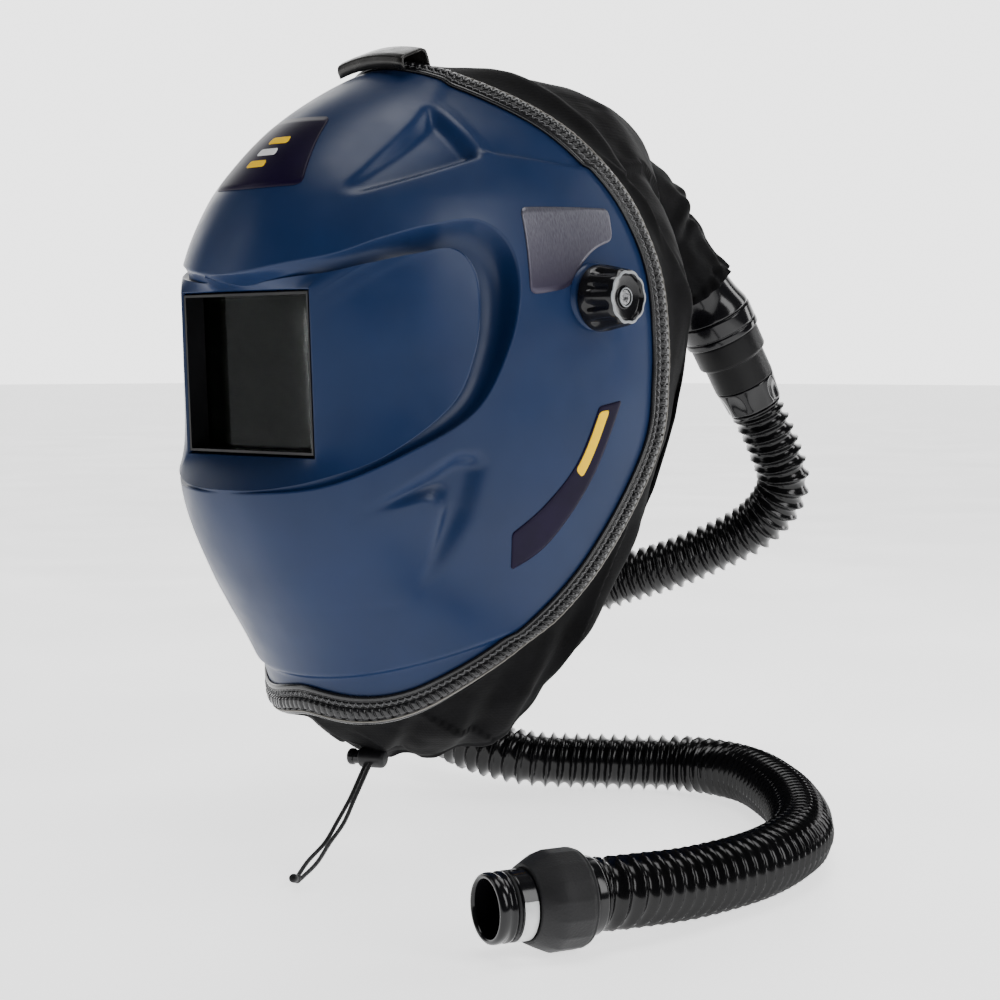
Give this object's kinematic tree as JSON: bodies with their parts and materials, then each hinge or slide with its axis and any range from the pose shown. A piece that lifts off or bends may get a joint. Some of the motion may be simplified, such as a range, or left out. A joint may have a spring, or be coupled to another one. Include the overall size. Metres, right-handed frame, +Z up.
{
  "type": "powered air respirator",
  "caption": "Welding head-top of a powered air respirator: tilting shield with dark filter, side knobs, headgear, cloth hood with air inlet and a corrugated breathing hose.",
  "frame": {"origin": "middle of the tilt axis, between the two side knobs, where the wearer's head is held", "axes": "+X to the wearer's left, along the tilt axis; the window faces -Y; +Z up through the crown"},
  "size_m": [0.4238, 0.5032, 0.4497],
  "materials": {
    "shield_shell": "navy moulded plastic, satin",
    "rim_trim": "black edge trim, stitched",
    "rim_clip": "black folded sheet",
    "brow_label": "dark plum film",
    "side_labels": "brushed film label",
    "strip_labels": "dark plum film with a yellow block",
    "filter_frame": "black",
    "cover_lens": "clear cover lens",
    "welding_filter": "dark filter glass",
    "inner_lens": "clear inner lens",
    "filter_retainer": "black",
    "retainer_pin": "steel",
    "pivot_bushes": "black nylon",
    "knob_left": "gloss black",
    "knob_right": "gloss black",
    "pivot_bolts": "zinc plated",
    "friction_washers": "fibre",
    "side_arm_left": "black nylon",
    "side_arm_right": "black nylon",
    "headband": "black flexible plastic",
    "sweatband": "padded cloth",
    "nape_pad": "padded cloth",
    "crown_strap_front": "black flexible plastic",
    "crown_strap_rear": "black flexible plastic",
    "ratchet_housing": "black",
    "ratchet_knob": "black, ribbed",
    "ratchet_pinion": "steel",
    "air_duct": "black flexible duct",
    "inlet_elbow": "gloss black",
    "elbow_ring": "gloss black",
    "inlet_seal": "black o-ring",
    "swivel_collar": "fine textured black",
    "upper_cuff": "gloss black",
    "breathing_hose": "gloss black corrugated hose",
    "lower_cuff": "black",
    "grip_collar": "coarse textured black",
    "spigot": "black",
    "spigot_seal": "black o-ring",
    "spigot_label": "blank white label",
    "air_sleeve": "black coated cloth",
    "sleeve_elastic": "black elastic",
    "hood_back": "black coated cloth",
    "hood_gusset": "black coated cloth",
    "face_seal": "black coated cloth",
    "drawcord_left": "black braided cord",
    "drawcord_right": "black braided cord",
    "cord_lock": "black",
    "lock_button": "black",
    "lock_spring": "steel",
    "cord_end": "black"
  },
  "bodies": {
    "headgear": {"side_arm_left": "side_arm_left", "side_arm_right": "side_arm_right", "pivot_bolts": "pivot_bolts", "friction_washers": "friction_washers", "headband": "headband", "sweatband": "sweatband", "nape_pad": "nape_pad", "crown_strap_front": "crown_strap_front", "crown_strap_rear": "crown_strap_rear", "ratchet_housing": "ratchet_housing", "air_duct": "air_duct", "inlet_elbow": "inlet_elbow", "elbow_ring": "elbow_ring", "inlet_seal": "inlet_seal", "upper_cuff": "upper_cuff", "breathing_hose": "breathing_hose", "lower_cuff": "lower_cuff", "air_sleeve": "air_sleeve", "sleeve_elastic": "sleeve_elastic", "hood_back": "hood_back"},
    "shield": {"shield_shell": "shield_shell", "rim_trim": "rim_trim", "rim_clip": "rim_clip", "brow_label": "brow_label", "side_labels": "side_labels", "strip_labels": "strip_labels", "filter_frame": "filter_frame", "cover_lens": "cover_lens", "welding_filter": "welding_filter", "inner_lens": "inner_lens", "retainer_pin": "retainer_pin", "pivot_bushes": "pivot_bushes", "face_seal": "face_seal", "hood_gusset": "hood_gusset", "drawcord_left": "drawcord_left", "drawcord_right": "drawcord_right", "cord_end": "cord_end"},
    "retainer": {"filter_retainer": "filter_retainer"},
    "left_knob": {"knob_left": "knob_left"},
    "right_knob": {"knob_right": "knob_right"},
    "size_knob": {"ratchet_knob": "ratchet_knob", "ratchet_pinion": "ratchet_pinion"},
    "coupling_collar": {"swivel_collar": "swivel_collar"},
    "hose_plug": {"grip_collar": "grip_collar", "spigot": "spigot", "spigot_seal": "spigot_seal", "spigot_label": "spigot_label"},
    "cord_lock": {"cord_lock": "cord_lock", "lock_spring": "lock_spring"},
    "lock_button": {"lock_button": "lock_button"}
  },
  "joints": [
    {"name": "shield_tilt", "type": "hinge", "parent": "headgear", "child": "shield", "pos_m": [0, 0, 0], "axis": [-1, 0, 0], "range_deg": [0, 45], "deforming": ["hood_gusset"]},
    {"name": "retainer_swing", "type": "hinge", "parent": "shield", "child": "retainer", "pos_m": [0, -0.13366, 0.00861], "axis": [1, 0, 0], "range_deg": [0, 35]},
    {"name": "left_knob_turn", "type": "hinge", "parent": "headgear", "child": "left_knob", "pos_m": [0.115, 0, 0], "axis": [1, 0, 0], "continuous": true},
    {"name": "right_knob_turn", "type": "hinge", "parent": "headgear", "child": "right_knob", "pos_m": [-0.115, 0, 0], "axis": [1, 0, 0], "continuous": true},
    {"name": "size_knob_turn", "type": "hinge", "parent": "headgear", "child": "size_knob", "pos_m": [0, 0.1144, 0.029], "axis": [0, 1, 0], "continuous": true},
    {"name": "hose_swivel", "type": "hinge", "parent": "headgear", "child": "coupling_collar", "pos_m": [0.022, 0.226, -0.003], "axis": [0.1462, 0.4782, -0.866], "continuous": true},
    {"name": "plug_turn", "type": "hinge", "parent": "headgear", "child": "hose_plug", "pos_m": [0.22109, -0.16861, -0.2835], "axis": [-0.3305, -0.9438, 0], "continuous": true},
    {"name": "lock_slide", "type": "slide", "parent": "shield", "child": "cord_lock", "axis": [0.3105, -0.7453, -0.59], "range_m": [0, 0.02]},
    {"name": "button_press", "type": "slide", "parent": "cord_lock", "child": "lock_button", "axis": [0.9231, 0.3846, 0], "range_m": [0, 0.0022], "stiffness_N_per_m": 800, "springref_m": -0.001, "deforming": ["lock_spring"]}
  ]
}
